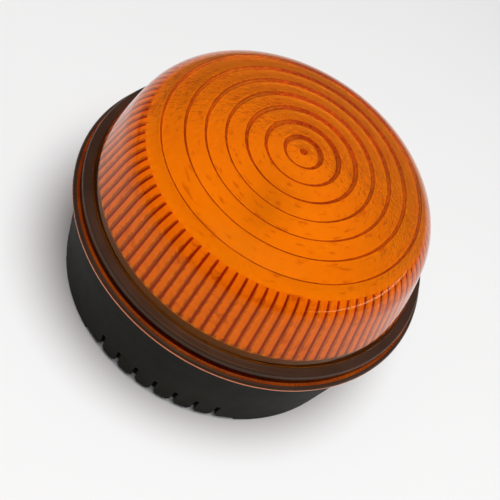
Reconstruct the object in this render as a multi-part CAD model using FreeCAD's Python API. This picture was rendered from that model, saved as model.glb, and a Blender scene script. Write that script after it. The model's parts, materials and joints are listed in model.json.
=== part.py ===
"""Round safelight for a darkroom wall or bench, in millimetres.

A black housing stands on a back plate and holds a small screw-cap lamp over a white reflector.
An amber lens dome closes the top. Four ramped lugs inside its skirt hook under four ramped ribs
on the housing's neck, so an eighth of a turn lifts it off its seal and frees it.

Frame: +Z is the lamp's axis, out through the lens. The origin is the centre of the underside.
The vents stand at -Y, +X and -X, and the cable inlet at +Y.
"""
import FreeCAD, Part
import math
import os

V = FreeCAD.Vector
ORIGIN = V(0, 0, 0)
UP = V(0, 0, 1)

# Driving dimensions
LENS_R = 70.0                    # outside radius of the bead round the lens's foot
SEAT_Z = 42.0                    # height of that bead
DOME_RISE = 42.9                 # from the bead to the crown of the lens
DOME_R = 261.0                   # spherical radius of the lens face
WALL_TOP = (59.3, 24.0)          # radius, and height over the bead, near the top of the lens's side
WALL_FOOT = (64.1, 7.0)          # the same near its foot
SHOULDER_R = 20.0                # rounding between the lens's side and its face
LENS_T = 3.5                     # thickness of the lens

# Lens details
RING_PITCH = 6.83                # radial pitch of the stepped rings inside the face
RING_COUNT = 7
RING_DEPTH = 1.8
RING_LEAN = 0.25                 # half the width of a ring's sloping riser
PIP_R = 1.2                      # nib at the centre of the rings
PIP_DEPTH = 0.7
FLUTE_COUNT = 94
FLUTE_DEPTH = 1.2
FLUTE_W = 0.8
FLUTE_FOOT_Z = 50.0
FLUTE_TOP_Z = 73.0
SKIRT_R = 67.6                   # outside of the skirt above the bead
SKIRT_BORE_R = 65.2
LEDGE_Z = 48.0                   # top of the skirt
CEILING_Z = 46.0                 # inside top of the skirt
RIM_Z = 41.0                     # lower edge of the lens
BEAD_R = 1.2                     # half height of the bead
CORNER_R = 1.0                   # rounding at the skirt's top edge

# Quick thread between lens and housing
LEAD = 8.0                       # rise in one full turn
LUG_COUNT = 4
LUG_SPAN = 40.0                  # degrees of arc
LUG_MIDDLE = -87.0               # azimuth of the middle of the first lug and rib
LUG_BORE_R = 63.2
LUG_Z = 42.55                    # middle height of a lug at the middle of its arc
LUG_T = 1.5
RIB_R = 64.8
RIB_Z = 44.25
RIB_T = 1.4

# Housing
FOOT_R = 63.0                    # outside radius at the bottom
TOP_R = 67.2                     # outside radius under the seal
SHELL_T = 2.5
DECK_Z = 39.6                    # top of the housing's shoulder
DECK_T = 2.6
NECK_R = 62.8
NECK_BORE_R = 60.3
NECK_TOP_Z = 45.6
SEAT_BORE_R = 58.3               # opening inside the reflector's seat
FOOT_ROUND = 1.2
TOP_ROUND = 0.8

# Vents: a run of slots in the housing's lower edge, between the lands that touch the wall
VENT_AZIMUTHS = (-90.0, 0.0, 180.0)
VENT_SPAN = 62.0
VENT_LIFT = 2.5
SLOT_COUNT = 7
SLOT_PITCH = 7.4
SLOT_W = 1.6
SLOT_H = 11.5
SLOT_MOUTH_R = 1.7               # rounded widening of a slot at the lifted edge

# Seal ring
SEAL_BORE_R = 65.3
SEAL_R = 66.7
SEAL_GAP = 0.1

# Back plate and the bosses that hold the housing to it
PLATE_R = 59.8
PLATE_T = 2.5
BOSS_R = 4.2
BOSS_CENTRE_R = 53.5
BOSS_Z = (10.0, 20.0)
BOSS_AZIMUTHS = (45.0, 135.0, 225.0, 315.0)
BOSS_WEB_T = 3.0
SCREW_SEAT_Z = 17.0              # floor of the counterbore in a boss
SCREW_R = 1.6
SCREW_LENGTH = 12.5
SCREW_HEAD = (3.1, 2.2)          # radius and height
PILLAR_R = 4.0
WALL_HOLE_R = 2.2
WALL_HOLE_X = 38.0
BLIND_Z = 0.8                    # floor of the blind screw holes in the back plate
BAFFLE_R = 48.0
BAFFLE_T = 1.2
BAFFLE_TOP_Z = 18.0
BAFFLE_LIP = 4.0
BAFFLE_GROOVE = 0.8
CABLE_GAP_W = 10.0

# Cable inlet
INLET_Z = 12.0
INLET_PAD_R = 9.0
INLET_FACE_Y = 65.6
INLET_HOLE_R = 6.0
INLET_INSIDE_Y = 60.0
GROMMET_BORE_R = 3.6
GROMMET_LIP_R = 8.0
GROMMET_LIP_T = 1.6
GROMMET_INNER_LIP_T = 3.0

# Reflector
SHEET_T = 0.8
DISH_R = 59.9
DISH_LIP_Z = 45.0
DISH_FLAT_R = 24.0
DISH_FLAT_Z = 27.0

# Lampholder
HOLDER_R = 15.0
HOLDER_NECK_R = 13.0
HOLDER_Z = 4.5
HOLDER_TOP_Z = 31.5
HOLDER_BORE_R = 8.4
HOLDER_FLOOR_Z = 9.0
STRIP_LENGTH = 58.0
STRIP_WIDTH = 20.0
STRIP_CORNER_R = 4.0
STRIP_SCREW_X = 23.0
HOLDER_SCREW_X = 11.5
SMALL_SCREW_R = 1.25
SMALL_SCREW_HEAD = (2.6, 1.8)
COUNTERSUNK_R = 2.1
COUNTERSUNK_H = 1.1
NUT_R = 17.5
NUT_H = 2.9
NUT_NOTCHES = 24
TAB_Z = 16.0                     # middle height of the side pockets, tabs and their screws
TAB_SIZE = (1.0, 5.6, 8.8)
POCKET_SIZE = (3.0, 6.4, 10.0)

# Screw cap of the lamp, round thread
THREAD_PITCH = 2.822
THREAD_ROUND_R = 0.8
CAP_CORE_R = 6.13
THREAD_END_GAP = 0.2
SHELL_BORE_R = 7.25
SHELL_R = 8.3
SHELL_Z = (19.0, 29.0)
SHELL_LEG_W = 5.0

# Lamp
LAMP_TIP_Z = 14.0
CAP_LOW_Z = 18.3
CAP_SKIRT_Z = 31.0
CAP_SKIRT_R = 7.9
CAP_TOP_Z = 34.5
CAP_T = 0.6
INSULATOR_R = (3.2, 5.9)
TIP_R = 2.5
TIP_HEIGHT = 3.0
GLASS_LOW_Z = 33.0
GLASS_NECK_R = 7.2
GLASS_NECK_TOP_Z = 38.0
GLASS_R = 14.0
GLASS_T = 0.6
GLASS_CENTRE_Z = 54.0
GLASS_JOIN_ANGLE = -42.0         # where the ball meets the curve up from the neck
STEM_TOP_Z = 47.6
SUPPORT_X = 7.0
SUPPORT_BEND = (2.6, 50.0)
SUPPORT_R = 0.3
FILAMENT_Z = 55.0
FILAMENT_R = 0.15
FILAMENT_SWING = 1.6
FILAMENT_RUNS = 6

# Sprung contact under the lamp's tip
CONTACT_PIN_R = 1.5
CONTACT_HEAD_R = 3.4
CONTACT_HEAD_T = 1.4
CONTACT_TOP_Z = LAMP_TIP_Z - 0.15
CONTACT_TRAVEL = 0.8
SPRING_COIL_R = 2.4
SPRING_WIRE_R = 0.3
SPRING_TURNS = 2.5

# Terminal block
BLOCK_SIZE = (22.0, 14.0, 12.0)
BLOCK_Y = 34.0
BLOCK_SCREW_FLOOR = 7.0          # height of the fixing screw's seat inside the block
POLE_X = 6.5
POLE_Z = 9.0
CLAMP_Y = 3.6                    # a clamp screw's distance from the block's middle
CLAMP_R = 1.2
CLAMP_HEAD_R = 1.8
TUNNEL_R = 1.9
TUNNEL_T = 0.8
LEAD_R = 1.2
LEAD_BEND_R = 4.0

FIT = 0.1                        # gap between pieces that are assembled face to face
ARC_SHARE = 0.29                 # how far a quarter round's middle lies in from its corner, over its radius


def add_edge(edges, start, end):
    edges.append(Part.LineSegment(V(start[0], 0, start[1]), V(end[0], 0, end[1])).toShape())


def outline(path):
    """Closed face in the XZ plane. path holds (r, z) points; a triple (via, end, "arc") is an arc."""
    edges = []
    here = path[0]
    for step in path[1:]:
        if len(step) == 3:
            via, end = step[0], step[1]
            arc = Part.Arc(V(here[0], 0, here[1]), V(via[0], 0, via[1]), V(end[0], 0, end[1]))
            edges.append(arc.toShape())
            here = end
        else:
            add_edge(edges, here, step)
            here = step
    add_edge(edges, here, path[0])
    return Part.Face(Part.Wire(edges))


def revolved(path):
    return outline(path).revolve(ORIGIN, UP, 360)


def ring(r_in, r_out, z_low, z_high):
    outer = Part.makeCylinder(r_out, z_high - z_low, V(0, 0, z_low))
    return outer.cut(Part.makeCylinder(r_in, z_high - z_low, V(0, 0, z_low)))


def turned(shape, degrees):
    copy = shape.copy()
    copy.rotate(ORIGIN, UP, degrees)
    return copy


def moved(shape, x, y, z):
    copy = shape.copy()
    copy.translate(V(x, y, z))
    return copy


def block(x_size, y_size, z_low, z_high, x=0.0, y=0.0):
    return Part.makeBox(x_size, y_size, z_high - z_low, V(x - x_size / 2, y - y_size / 2, z_low))


def polar(radius, degrees):
    angle = math.radians(degrees)
    return radius * math.cos(angle), radius * math.sin(angle)


def helical_bar(section, lead, radius, turns):
    """Sweep a section that stands at azimuth 0 up a right-hand helix."""
    spine = Part.Wire(Part.makeHelix(lead, lead * turns, radius).Edges)
    return spine.makePipeShell([section], True, True)


def ramp_segment(r_in, r_out, z_middle, thickness, middle_azimuth):
    """One lug or rib: a bar of rectangular section that climbs with the quick thread's lead."""
    z_low = -thickness / 2
    z_high = thickness / 2
    corners = [V(r_in, 0, z_low), V(r_out, 0, z_low), V(r_out, 0, z_high), V(r_in, 0, z_high)]
    section = Part.makePolygon(corners + corners[:1])
    bar = helical_bar(section, LEAD, (r_in + r_out) / 2, LUG_SPAN / 360)
    bar = turned(bar, middle_azimuth - LUG_SPAN / 2)
    return moved(bar, 0, 0, z_middle - LEAD * LUG_SPAN / 720)


def ramp_segments(r_in, r_out, z_middle, thickness):
    step = 360 / LUG_COUNT
    return [ramp_segment(r_in, r_out, z_middle, thickness, LUG_MIDDLE + step * i) for i in range(LUG_COUNT)]


def pan_screw(x, y, z_seat, shank_r, length, head_size):
    """Pan-head screw pointing down, with a cross slot. z_seat is the underside of its head."""
    head_r, head_h = head_size
    slot_w = 0.6
    slot_length = head_r * 1.3
    slot_z = z_seat + head_h * 0.45
    shank = Part.makeCylinder(shank_r, length, V(x, y, z_seat - length))
    head = Part.makeCylinder(head_r, head_h, V(x, y, z_seat))
    screw = head.makeFillet(head_h * 0.45, [head.Edges[0]]).fuse(shank)
    slot = block(slot_length, slot_w, slot_z, z_seat + head_h, x, y)
    cross = block(slot_w, slot_length, slot_z, z_seat + head_h, x, y)
    return screw.cut(slot.fuse(cross)).removeSplitter()


class LensSection:
    """Tangent points of the lens's side line, rounded shoulder and spherical face, set inward by inset."""

    def __init__(self, inset):
        foot_r, foot_z = WALL_FOOT[0], SEAT_Z + WALL_FOOT[1]
        run = WALL_TOP[0] - WALL_FOOT[0]
        rise = WALL_TOP[1] - WALL_FOOT[1]
        length = math.hypot(run, rise)
        self.along = (run / length, rise / length)
        self.inward = (-rise / length, run / length)
        self.foot = (foot_r + inset * self.inward[0], foot_z + inset * self.inward[1])
        self.sphere_r = DOME_R - inset
        self.sphere_z = SEAT_Z + DOME_RISE - DOME_R
        # The shoulder's centre lies a shoulder radius inside the line, and inside the sphere.
        start_r = foot_r + SHOULDER_R * self.inward[0]
        start_z = foot_z + SHOULDER_R * self.inward[1] - self.sphere_z
        b = start_r * self.along[0] + start_z * self.along[1]
        c = start_r ** 2 + start_z ** 2 - (DOME_R - SHOULDER_R) ** 2
        travel = -b + math.sqrt(b * b - c)
        self.centre = (start_r + travel * self.along[0], start_z + travel * self.along[1] + self.sphere_z)
        self.shoulder_r = SHOULDER_R - inset

    def line_r(self, z):
        return self.foot[0] + (z - self.foot[1]) * self.along[0] / self.along[1]

    def line_end(self):
        return (self.centre[0] - self.shoulder_r * self.inward[0],
                self.centre[1] - self.shoulder_r * self.inward[1])

    def on_shoulder(self, degrees):
        angle = math.radians(degrees)
        return (self.centre[0] + self.shoulder_r * math.cos(angle),
                self.centre[1] + self.shoulder_r * math.sin(angle))

    def line_angle(self):
        return math.degrees(math.atan2(-self.inward[1], -self.inward[0]))

    def face_angle(self):
        return math.degrees(math.atan2(self.centre[1] - self.sphere_z, self.centre[0]))

    def shoulder_arc(self):
        middle = (self.line_angle() + self.face_angle()) / 2
        return (self.on_shoulder(middle), self.on_shoulder(self.face_angle()), "arc")

    def angle_at_z(self, z):
        return math.degrees(math.asin((z - self.centre[1]) / self.shoulder_r))

    def face_z(self, r):
        return self.sphere_z + math.sqrt(self.sphere_r ** 2 - r ** 2)

    def surface_z(self, r):
        """Height of the face, or of the shoulder beyond it, at radius r."""
        if r < self.on_shoulder(self.face_angle())[0]:
            return self.face_z(r)
        return self.centre[1] + math.sqrt(self.shoulder_r ** 2 - (r - self.centre[0]) ** 2)

    def crown_arc(self, r_start):
        return ((r_start / 2, self.face_z(r_start / 2)), (0, self.face_z(0)), "arc")


def lens_outer_path():
    """Outside of the lens, from the rim up to the crown."""
    section = LensSection(0.0)
    bead_r = LENS_R - BEAD_R
    bead_z = RIM_Z + BEAD_R
    blend_z = LEDGE_Z + CORNER_R
    side_r = section.line_r(blend_z)
    share = ARC_SHARE * CORNER_R
    return [(bead_r, RIM_Z),
            ((LENS_R, bead_z), (bead_r, RIM_Z + 2 * BEAD_R), "arc"),
            (SKIRT_R, RIM_Z + 2 * BEAD_R),
            (SKIRT_R, LEDGE_Z - CORNER_R),
            ((SKIRT_R - share, LEDGE_Z - share), (SKIRT_R - CORNER_R, LEDGE_Z), "arc"),
            (side_r + CORNER_R, LEDGE_Z),
            ((side_r + share, LEDGE_Z + share), (side_r, blend_z), "arc"),
            section.line_end(),
            section.shoulder_arc(),
            section.crown_arc(section.on_shoulder(section.face_angle())[0])]


def lens_inner_path():
    """Inside of the lens from its crown down to the rim. Each ring thickens outward, then steps back."""
    section = LensSection(LENS_T)
    top_angle = section.angle_at_z(FLUTE_TOP_Z)
    path = [(0, section.face_z(0) - PIP_DEPTH), (PIP_R, section.face_z(0))]
    for k in range(1, RING_COUNT + 1):
        r = k * RING_PITCH
        path.append((r - RING_LEAN, section.surface_z(r) - RING_DEPTH))
        path.append((r + RING_LEAN, section.surface_z(r)))
    middle = section.on_shoulder((section.line_angle() + top_angle) / 2)
    path += [section.on_shoulder(top_angle), (middle, section.line_end(), "arc"),
             (section.line_r(CEILING_Z), CEILING_Z), (SKIRT_BORE_R, CEILING_Z), (SKIRT_BORE_R, RIM_Z)]
    return path


def flute_groove():
    """One straight groove up the inside of the lens's wall, at azimuth 0, cut into the wall."""
    inner = LensSection(LENS_T + 1.0)
    deep = LensSection(LENS_T - FLUTE_DEPTH)
    top_in = inner.on_shoulder(inner.angle_at_z(FLUTE_TOP_Z))
    top_deep = deep.on_shoulder(deep.angle_at_z(FLUTE_TOP_Z))
    via_in = inner.on_shoulder((inner.angle_at_z(FLUTE_TOP_Z) + inner.line_angle()) / 2)
    via_deep = deep.on_shoulder((deep.angle_at_z(FLUTE_TOP_Z) + deep.line_angle()) / 2)
    face = outline([(inner.line_r(FLUTE_FOOT_Z), FLUTE_FOOT_Z),
                    (deep.line_r(FLUTE_FOOT_Z), FLUTE_FOOT_Z),
                    deep.line_end(),
                    (via_deep, top_deep, "arc"),
                    top_in,
                    (via_in, inner.line_end(), "arc")])
    return moved(face.extrude(V(0, FLUTE_W, 0)), 0, -FLUTE_W / 2, 0)


def lens_dome():
    dome = revolved(lens_outer_path() + lens_inner_path())
    groove = flute_groove()
    grooves = [turned(groove, 360 * i / FLUTE_COUNT) for i in range(FLUTE_COUNT)]
    dome = dome.cut(Part.makeCompound(grooves))
    overlap = 0.4
    lugs = ramp_segments(LUG_BORE_R, SKIRT_BORE_R + overlap, LUG_Z, LUG_T)
    return dome.multiFuse(lugs)


def lens_gasket():
    """Flat rubber ring with a rounded outer edge, between the housing's shoulder and the lens's rim."""
    low = DECK_Z + SEAL_GAP
    high = RIM_Z - SEAL_GAP
    middle = (low + high) / 2
    bulge = (high - low) / 4
    return revolved([(SEAL_BORE_R, low), (SEAL_R - bulge, low),
                     ((SEAL_R, middle), (SEAL_R - bulge, high), "arc"), (SEAL_BORE_R, high)])


def wall_r(z):
    """Outside radius of the housing's tapering wall at height z."""
    return FOOT_R + (TOP_R - FOOT_R) * z / DECK_Z


def housing_body():
    neck_round = 0.6
    bore_top_z = DECK_Z - DECK_T
    foot_share = ARC_SHARE * FOOT_ROUND
    top_share = ARC_SHARE * TOP_ROUND
    return revolved([(wall_r(0) - SHELL_T, 0),
                     (wall_r(0) - FOOT_ROUND, 0),
                     ((wall_r(0) - foot_share, foot_share), (wall_r(FOOT_ROUND), FOOT_ROUND), "arc"),
                     (wall_r(DECK_Z - TOP_ROUND), DECK_Z - TOP_ROUND),
                     ((TOP_R - top_share, DECK_Z - top_share), (TOP_R - TOP_ROUND, DECK_Z), "arc"),
                     (NECK_R, DECK_Z),
                     (NECK_R, NECK_TOP_Z - neck_round),
                     (NECK_R - neck_round, NECK_TOP_Z),
                     (NECK_BORE_R, NECK_TOP_Z),
                     (NECK_BORE_R, DECK_Z),
                     (SEAT_BORE_R, DECK_Z),
                     (SEAT_BORE_R, bore_top_z),
                     (wall_r(bore_top_z) - SHELL_T, bore_top_z)])


def housing_boss(azimuth):
    """Screw boss joined to the wall by a web."""
    x, y = polar(BOSS_CENTRE_R, azimuth)
    post = Part.makeCylinder(BOSS_R, BOSS_Z[1] - BOSS_Z[0], V(x, y, BOSS_Z[0]))
    web_length = wall_r(0) - 1.0 - BOSS_CENTRE_R
    web = block(web_length, BOSS_WEB_T, BOSS_Z[0], BOSS_Z[1], BOSS_CENTRE_R + web_length / 2)
    return post.fuse(turned(web, azimuth))


def vent_cutters(azimuth):
    """The lifted edge over one run of slots, and the slots themselves."""
    below = 1.0
    slot_depth = 2 * SHELL_T + 4
    arch_z = SLOT_H - SLOT_W / 2
    lift = Part.makeCylinder(LENS_R, VENT_LIFT + below, V(0, 0, -below), UP, VENT_SPAN)
    cutters = [turned(lift, azimuth - VENT_SPAN / 2)]
    slot = block(slot_depth, SLOT_W, -below, arch_z, FOOT_R)
    inside_x = FOOT_R - slot_depth / 2
    arch = Part.makeCylinder(SLOT_W / 2, slot_depth, V(inside_x, 0, arch_z), V(1, 0, 0))
    mouth = Part.makeCylinder(SLOT_MOUTH_R, slot_depth, V(inside_x, 0, VENT_LIFT), V(1, 0, 0))
    slot = slot.multiFuse([arch, mouth])
    for i in range(SLOT_COUNT):
        cutters.append(turned(slot, azimuth + (i - (SLOT_COUNT - 1) / 2) * SLOT_PITCH))
    return cutters


def base_housing():
    rib_root = 0.4
    body = housing_body().multiFuse(ramp_segments(NECK_R - rib_root, RIB_R, RIB_Z, RIB_T))
    pad_length = INLET_FACE_Y - INLET_INSIDE_Y
    pad = Part.makeCylinder(INLET_PAD_R, pad_length, V(0, INLET_INSIDE_Y, INLET_Z), V(0, 1, 0))
    body = body.multiFuse([pad] + [housing_boss(a) for a in BOSS_AZIMUTHS])
    cutters = [Part.makeCylinder(INLET_HOLE_R, 20, V(0, 55, INLET_Z), V(0, 1, 0))]
    for azimuth in BOSS_AZIMUTHS:
        x, y = polar(BOSS_CENTRE_R, azimuth)
        cutters.append(Part.makeCylinder(SCREW_R + 0.3, 20, V(x, y, BOSS_Z[0] - 5)))
        cutters.append(Part.makeCylinder(SCREW_HEAD[0] + 0.5, 10, V(x, y, SCREW_SEAT_Z)))
    body = body.cut(Part.makeCompound(cutters))
    vents = []
    for azimuth in VENT_AZIMUTHS:
        vents += vent_cutters(azimuth)
    return body.cut(Part.makeCompound(vents))


def housing_screws():
    screws = []
    for azimuth in BOSS_AZIMUTHS:
        x, y = polar(BOSS_CENTRE_R, azimuth)
        screws.append(pan_screw(x, y, SCREW_SEAT_Z, SCREW_R, SCREW_LENGTH, SCREW_HEAD))
    return Part.makeCompound(screws)


def back_plate():
    """Disc with a pillar under each boss, two wall-screw holes and a groove for the baffle ring."""
    pillar_low = 1.0
    pillar_bore_low = 1.4
    plate = Part.makeCylinder(PLATE_R, PLATE_T)
    plate = plate.makeFillet(0.5, [plate.Edges[0]])
    pillars = []
    holes = []
    for azimuth in BOSS_AZIMUTHS:
        x, y = polar(BOSS_CENTRE_R, azimuth)
        pillars.append(Part.makeCylinder(PILLAR_R, BOSS_Z[0] - FIT - pillar_low, V(x, y, pillar_low)))
        holes.append(Part.makeCylinder(SCREW_R + FIT, BOSS_Z[0], V(x, y, pillar_bore_low)))
    for sign in (-1, 1):
        holes.append(Part.makeCylinder(WALL_HOLE_R, 10, V(sign * WALL_HOLE_X, 0, -2)))
        holes.append(Part.makeCylinder(SMALL_SCREW_R + FIT, 10, V(sign * STRIP_SCREW_X, 0, BLIND_Z)))
    holes.append(Part.makeCylinder(SMALL_SCREW_R + FIT, 10, V(0, BLOCK_Y, BLIND_Z)))
    plate = plate.multiFuse(pillars).cut(Part.makeCompound(holes))
    side_gap = 0.05
    groove = ring(BAFFLE_R - BAFFLE_T - side_gap, BAFFLE_R + side_gap, PLATE_T - BAFFLE_GROOVE, PLATE_T + 1)
    return plate.cut(groove)


def vent_baffle():
    """Light-trap ring with a lip turned inward, and open where the supply cable comes in."""
    foot_z = PLATE_T - BAFFLE_GROOVE + 0.05
    wall = ring(BAFFLE_R - BAFFLE_T, BAFFLE_R, foot_z, BAFFLE_TOP_Z)
    lip = ring(BAFFLE_R - BAFFLE_LIP, BAFFLE_R - BAFFLE_T / 2, BAFFLE_TOP_Z - BAFFLE_T, BAFFLE_TOP_Z)
    gap = block(CABLE_GAP_W, 2 * BAFFLE_LIP + 2, 0, BAFFLE_TOP_Z + 1, 0, BAFFLE_R - BAFFLE_LIP)
    return wall.fuse(lip).removeSplitter().cut(gap)


def inlet_grommet():
    """Rubber bush gripped by the housing's wall, with a lip each side of it."""
    inside_y = INLET_INSIDE_Y - FIT
    outside_y = INLET_FACE_Y + FIT
    neck_r = INLET_HOLE_R - FIT / 2
    lip = GROMMET_LIP_T
    lip_via = (GROMMET_LIP_R - ARC_SHARE * lip, outside_y + lip - ARC_SHARE * lip)
    bevel = 0.8
    path = [(GROMMET_BORE_R, inside_y - GROMMET_INNER_LIP_T),
            (GROMMET_LIP_R - 2.0, inside_y - GROMMET_INNER_LIP_T),
            (GROMMET_LIP_R - 1.0, inside_y),
            (neck_r, inside_y),
            (neck_r, outside_y),
            (GROMMET_LIP_R, outside_y),
            (lip_via, (GROMMET_LIP_R - lip, outside_y + lip), "arc"),
            (GROMMET_BORE_R + bevel, outside_y + lip),
            (GROMMET_BORE_R, outside_y + lip - bevel)]
    bush = revolved(path)
    bush.rotate(ORIGIN, V(1, 0, 0), -90)
    return moved(bush, 0, 0, INLET_Z)


def reflector_dish():
    """Pressed white dish: lip inside the neck, flange on its seat, cone down to the lampholder."""
    flange_z = DECK_Z + FIT
    lip_r = DISH_R - SHEET_T
    hole_r = HOLDER_NECK_R + 0.3
    return revolved([(hole_r, DISH_FLAT_Z), (DISH_FLAT_R, DISH_FLAT_Z), (SEAT_BORE_R - 0.6, flange_z),
                     (DISH_R, flange_z), (DISH_R, DISH_LIP_Z), (lip_r, DISH_LIP_Z),
                     (lip_r, flange_z + SHEET_T), (SEAT_BORE_R - 0.9, flange_z + SHEET_T),
                     (DISH_FLAT_R - 0.3, DISH_FLAT_Z + SHEET_T), (hole_r, DISH_FLAT_Z + SHEET_T)])


def holder_body():
    """Moulded lampholder with a shoulder under the dish, a bore for the shell and a guide for the contact."""
    shoulder_z = DISH_FLAT_Z - FIT
    bevel = 0.6
    foot_bevel = 1.0
    path = [(0, HOLDER_Z), (HOLDER_R - foot_bevel, HOLDER_Z), (HOLDER_R, HOLDER_Z + foot_bevel),
            (HOLDER_R, shoulder_z), (HOLDER_NECK_R, shoulder_z),
            (HOLDER_NECK_R, HOLDER_TOP_Z - bevel), (HOLDER_NECK_R - bevel, HOLDER_TOP_Z),
            (HOLDER_BORE_R + bevel, HOLDER_TOP_Z), (HOLDER_BORE_R, HOLDER_TOP_Z - bevel),
            (HOLDER_BORE_R, HOLDER_FLOOR_Z), (0, HOLDER_FLOOR_Z)]
    body = revolved(path)
    depth, width, height = POCKET_SIZE
    cutters = [Part.makeCylinder(CONTACT_PIN_R + FIT / 2, 10, V(0, 0, HOLDER_Z - 1))]
    for sign in (-1, 1):
        cutters.append(Part.makeCylinder(1.05, 6.5, V(sign * HOLDER_SCREW_X, 0, HOLDER_Z - 1)))
        cutters.append(block(depth, width, TAB_Z - height / 2, TAB_Z + height / 2, sign * (HOLDER_R - 0.5)))
    return body.cut(Part.makeCompound(cutters))


def center_contact():
    """Sprung plunger under the lamp's tip."""
    under = CONTACT_TOP_Z - CONTACT_HEAD_T
    head = revolved([(0, under), (CONTACT_HEAD_R, under),
                     (CONTACT_HEAD_R, CONTACT_TOP_Z - 0.6), (CONTACT_HEAD_R - 1.2, CONTACT_TOP_Z),
                     (0, CONTACT_TOP_Z)])
    pin_low = HOLDER_Z + CONTACT_TRAVEL + 0.4
    pin = Part.makeCylinder(CONTACT_PIN_R, CONTACT_TOP_Z - 1.0 - pin_low, V(0, 0, pin_low))
    return head.fuse(pin).removeSplitter()


def contact_spring():
    low = HOLDER_FLOOR_Z + FIT / 2
    high = CONTACT_TOP_Z - CONTACT_HEAD_T - FIT / 2
    pitch = (high - low - 2 * SPRING_WIRE_R) / SPRING_TURNS
    section = Part.Wire(Part.makeCircle(SPRING_WIRE_R, V(SPRING_COIL_R, 0, 0), V(0, 1, 0)))
    return moved(helical_bar(section, pitch, SPRING_COIL_R, SPRING_TURNS), 0, 0, low + SPRING_WIRE_R)


def round_thread(radius, z_start, turns):
    """Helical bar of round section centred on a cylinder's wall."""
    section = Part.Wire(Part.makeCircle(THREAD_ROUND_R, V(radius, 0, 0), V(0, 1, 0)))
    return moved(helical_bar(section, THREAD_PITCH, radius, turns), 0, 0, z_start)


def thread_start():
    """Middle height of the shell thread's lowest point."""
    return SHELL_Z[0] + THREAD_ROUND_R + THREAD_END_GAP


def holder_shell():
    """Threaded brass shell that takes the lamp's screw cap, on two legs and a foot ring."""
    low, high = SHELL_Z
    foot_z = HOLDER_FLOOR_Z + FIT
    foot_t = 0.8
    wall = ring(SHELL_BORE_R, SHELL_R, low, high)
    foot = ring(SHELL_BORE_R - 1.0, SHELL_R, foot_z, foot_z + foot_t)
    leg = ring(SHELL_BORE_R, SHELL_R, foot_z, low + 0.5)
    keep = block(2 * SHELL_R, SHELL_LEG_W, HOLDER_FLOOR_Z, low + 1)
    turns = (high - low - 2 * (THREAD_ROUND_R + THREAD_END_GAP)) / THREAD_PITCH
    thread = round_thread(SHELL_BORE_R, thread_start(), turns)
    return wall.multiFuse([foot, leg.common(keep), thread])


def lamp_cap():
    """Screw cap: a threaded core that flares to a plain skirt round the glass.

    Its thread starts half a pitch above the shell's, so that each lies in the other's valleys.
    """
    bore_r = CAP_CORE_R - 0.93
    flare = 1.4
    wall = revolved([(bore_r, CAP_LOW_Z), (CAP_CORE_R, CAP_LOW_Z), (CAP_CORE_R, CAP_SKIRT_Z),
                     (CAP_SKIRT_R - 0.1, CAP_SKIRT_Z + flare), (CAP_SKIRT_R, CAP_TOP_Z),
                     (CAP_SKIRT_R - CAP_T, CAP_TOP_Z), (CAP_SKIRT_R - CAP_T, CAP_SKIRT_Z + flare + 0.5),
                     (bore_r, CAP_SKIRT_Z + 0.8)])
    start = thread_start() + THREAD_PITCH / 2
    turns = (CAP_SKIRT_Z - start - THREAD_ROUND_R) / THREAD_PITCH
    return wall.fuse(round_thread(CAP_CORE_R, start, turns))


def lamp_insulator():
    low = LAMP_TIP_Z + 1.0
    high = CAP_LOW_Z - FIT
    bore_r = TIP_R + FIT
    return revolved([(bore_r, low), (INSULATOR_R[0], low), (INSULATOR_R[1], high), (bore_r, high)])


def lamp_contact():
    tip = LAMP_TIP_Z
    return revolved([(0, tip), (1.2, tip), ((2.1, tip + 0.3), (TIP_R, tip + 1.1), "arc"),
                     (TIP_R, tip + TIP_HEIGHT), (0, tip + TIP_HEIGHT)])


def glass_path(inset):
    """Outside or inside of the envelope from the neck to the crown: neck, blend, then ball."""
    ball_r = GLASS_R - inset
    neck_r = GLASS_NECK_R - inset
    join = math.radians(GLASS_JOIN_ANGLE)
    join_point = (ball_r * math.cos(join), GLASS_CENTRE_Z + ball_r * math.sin(join))
    hollow = 0.55
    blend_via = ((neck_r + join_point[0]) / 2 - hollow, (GLASS_NECK_TOP_Z + join_point[1]) / 2 + 0.1)
    side_angle = math.radians(35)
    side = (ball_r * math.cos(side_angle), GLASS_CENTRE_Z + ball_r * math.sin(side_angle))
    return [(neck_r, GLASS_LOW_Z), (neck_r, GLASS_NECK_TOP_Z), (blend_via, join_point, "arc"),
            (side, (0, GLASS_CENTRE_Z + ball_r), "arc")]


def closed_glass(inset, low_z):
    path = glass_path(inset)
    path[0] = (path[0][0], low_z)
    return revolved([(0, low_z)] + path)


def lamp_envelope():
    return closed_glass(0.0, GLASS_LOW_Z).cut(closed_glass(GLASS_T, GLASS_LOW_Z - 1.0))


def lamp_stem():
    """Flared glass foot that seals the neck, drawn up to the pinch that holds the wires."""
    foot = GLASS_LOW_Z + 0.4
    foot_r = GLASS_NECK_R - GLASS_T - 0.3
    top = STEM_TOP_Z
    return revolved([(0, foot), (foot_r, foot), (foot_r, foot + 0.8), (3.6, foot + 2.0), (2.5, foot + 3.8),
                     (2.0, foot + 6.6), (1.8, top - 1.6), (1.2, top - 0.3), (0, top)])


def round_wire(points, radius):
    """Wire along straight runs, with a ball at each corner."""
    solids = []
    for start, end in zip(points, points[1:]):
        direction = end - start
        solids.append(Part.makeCylinder(radius, direction.Length, start, direction))
    for corner in points[1:-1]:
        solids.append(Part.makeSphere(radius, corner))
    return solids[0].multiFuse(solids[1:])


def lamp_supports():
    posts = []
    foot_z = STEM_TOP_Z + 0.15
    for sign in (-1, 1):
        points = [V(sign, 0, foot_z), V(sign * SUPPORT_BEND[0], 0, SUPPORT_BEND[1]),
                  V(sign * SUPPORT_X, 0, FILAMENT_Z)]
        posts.append(round_wire(points, SUPPORT_R))
    return Part.makeCompound(posts)


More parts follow.
